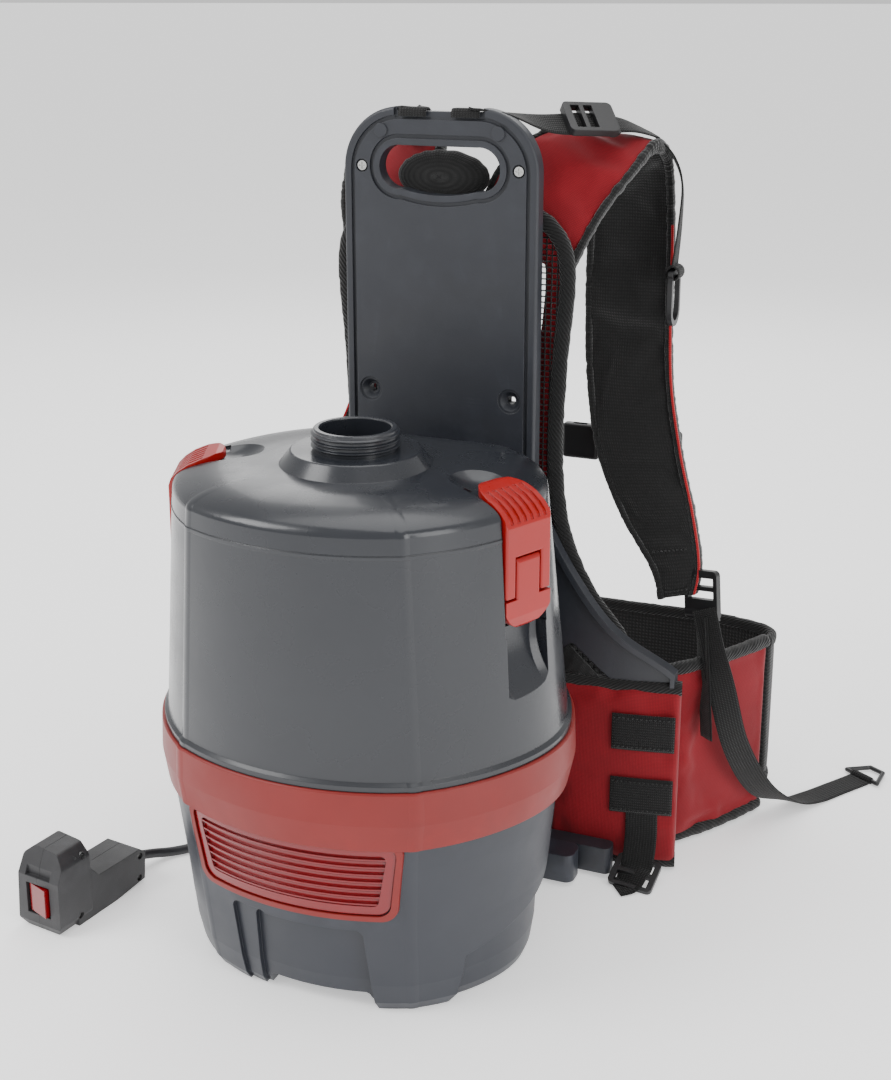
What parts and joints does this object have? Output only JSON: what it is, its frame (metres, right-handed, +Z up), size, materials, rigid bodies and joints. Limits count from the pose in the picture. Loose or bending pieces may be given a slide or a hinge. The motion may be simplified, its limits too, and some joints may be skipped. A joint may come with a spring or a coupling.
{
  "type": "backpack vacuum cleaner",
  "caption": "Backpack vacuum cleaner: latched dust canister with a hose inlet on a carrying plate, padded straps and waist belt, and a corded rocker switch pod.",
  "frame": {"origin": "underside of the motor base, on the upright axis of the hose neck", "axes": "+Z up along the hose neck, -Y out of the canister front with the exhaust grille, +Y towards the wearer"},
  "size_m": [0.6522, 0.531, 0.595],
  "materials": {
    "housing": "satin",
    "frame": "satin",
    "red_plastic": "gloss",
    "band_plastic": "satin",
    "black_plastic": "matte",
    "pod_plastic": "fine texture",
    "red_cloth": "woven",
    "black_cloth": "brushed knit",
    "mesh": "open mesh over red cloth",
    "webbing": "ribbed weave",
    "filter_media": "fleece",
    "seal": "matte",
    "lead_rubber": "matte",
    "steel": "plated",
    "core": "laminated",
    "alloy": "cast",
    "board": "coated"
  },
  "bodies": {
    "machine": {"motor_base": "housing", "filter_chamber": "housing", "lid": "housing", "hose_neck": "housing", "back_plate": "frame", "hip_frame": "frame", "exhaust_grille": "red_plastic", "ring_band": "band_plastic", "ladder_locks": "black_plastic", "triglides": "black_plastic", "chest_buckle_socket": "black_plastic", "switch_body": "black_plastic", "filter_frame": "black_plastic", "bag_collar": "black_plastic", "motor_housing": "black_plastic", "pod_shell_outer": "pod_plastic", "pod_shell_inner": "pod_plastic", "hip_panel_right": "red_cloth", "hip_panel_left": "red_cloth", "shoulder_strap_right": "red_cloth", "shoulder_strap_left": "red_cloth", "belt_sleeve_right": "red_cloth", "belt_sleeve_left": "red_cloth", "pad_binding": "black_cloth", "belt_closure": "black_cloth", "back_pad": "mesh", "load_webbing": "webbing", "lifter_tails": "webbing", "chest_webbing": "webbing", "belt_webbing": "webbing", "strap_webbing": "webbing", "strap_tails": "webbing", "exhaust_filter": "filter_media", "dust_bag": "filter_media", "hepa_filter": "filter_media", "lid_seal": "seal", "motor_mount": "seal", "lead": "lead_rubber", "strain_reliefs": "lead_rubber", "latch_pins": "steel", "plate_screws": "steel", "frame_bolts": "steel", "motor_bearings": "steel", "pod_screws": "steel", "motor_stator": "core", "control_board": "board"},
    "lever_right": {"latch_lever_right": "red_plastic", "hook_pin_right": "steel"},
    "hook_right": {"latch_hook_right": "red_plastic"},
    "lever_left": {"latch_lever_left": "red_plastic", "hook_pin_left": "steel"},
    "hook_left": {"latch_hook_left": "red_plastic"},
    "rotor": {"rotor_shaft": "steel", "impeller": "alloy"},
    "rocker_switch": {"rocker": "red_plastic"},
    "buckle_tongue": {"chest_buckle_tongue": "black_plastic"},
    "eye_right": {"oval_ring_right": "black_plastic"},
    "eye_left": {"oval_ring_left": "black_plastic"},
    "ring_right": {"triangle_ring_right": "black_plastic"},
    "ring_left": {"triangle_ring_left": "black_plastic"}
  },
  "joints": [
    {"name": "lever_right_hinge", "type": "hinge", "parent": "machine", "child": "lever_right", "pos_m": [0.12501, -0.01705, 0.314], "axis": [-0.3971, -0.9178, 0], "range_deg": [0, 85]},
    {"name": "hook_right_hinge", "type": "hinge", "parent": "lever_right", "child": "hook_right", "pos_m": [0.1296, -0.01904, 0.302], "axis": [-0.3971, -0.9178, 0], "range_deg": [-119.5, 0]},
    {"name": "lever_left_hinge", "type": "hinge", "parent": "machine", "child": "lever_left", "pos_m": [-0.12501, -0.01705, 0.314], "axis": [-0.3971, 0.9178, 0], "range_deg": [0, 85]},
    {"name": "hook_left_hinge", "type": "hinge", "parent": "lever_left", "child": "hook_left", "pos_m": [-0.1296, -0.01904, 0.302], "axis": [-0.3971, 0.9178, 0], "range_deg": [-119.5, 0]},
    {"name": "motor_spin", "type": "hinge", "parent": "machine", "child": "rotor", "pos_m": [0, 0, 0.06], "axis": [0, 0, 1], "continuous": true},
    {"name": "rocker_tilt", "type": "hinge", "parent": "machine", "child": "rocker_switch", "pos_m": [-0.21962, -0.09176, 0.026], "axis": [0, 0, 1], "range_deg": [0, 24]},
    {"name": "chest_buckle_slide", "type": "slide", "parent": "machine", "child": "buckle_tongue", "axis": [-1, 0, 0], "range_m": [0, 0.0215]},
    {"name": "eye_right_swing", "type": "hinge", "parent": "machine", "child": "eye_right", "pos_m": [0.152, 0.257, 0.464], "axis": [0, 1, 0], "range_deg": [-35, 3]},
    {"name": "eye_left_swing", "type": "hinge", "parent": "machine", "child": "eye_left", "pos_m": [-0.126, 0.257, 0.464], "axis": [0, 1, 0], "range_deg": [-3, 35]},
    {"name": "ring_right_lift", "type": "hinge", "parent": "machine", "child": "ring_right", "pos_m": [0.3076, 0.3842, 0.0031], "axis": [0.8486, -0.5291, 0], "range_deg": [0, 100]},
    {"name": "ring_left_lift", "type": "hinge", "parent": "machine", "child": "ring_left", "pos_m": [-0.3076, 0.3842, 0.0031], "axis": [0.8486, 0.5291, 0], "range_deg": [0, 100]}
  ],
  "couplings": [
    {"joint": "hook_right_hinge", "follows": "lever_right_hinge", "ratio": -1.4},
    {"joint": "hook_left_hinge", "follows": "lever_left_hinge", "ratio": -1.4}
  ]
}
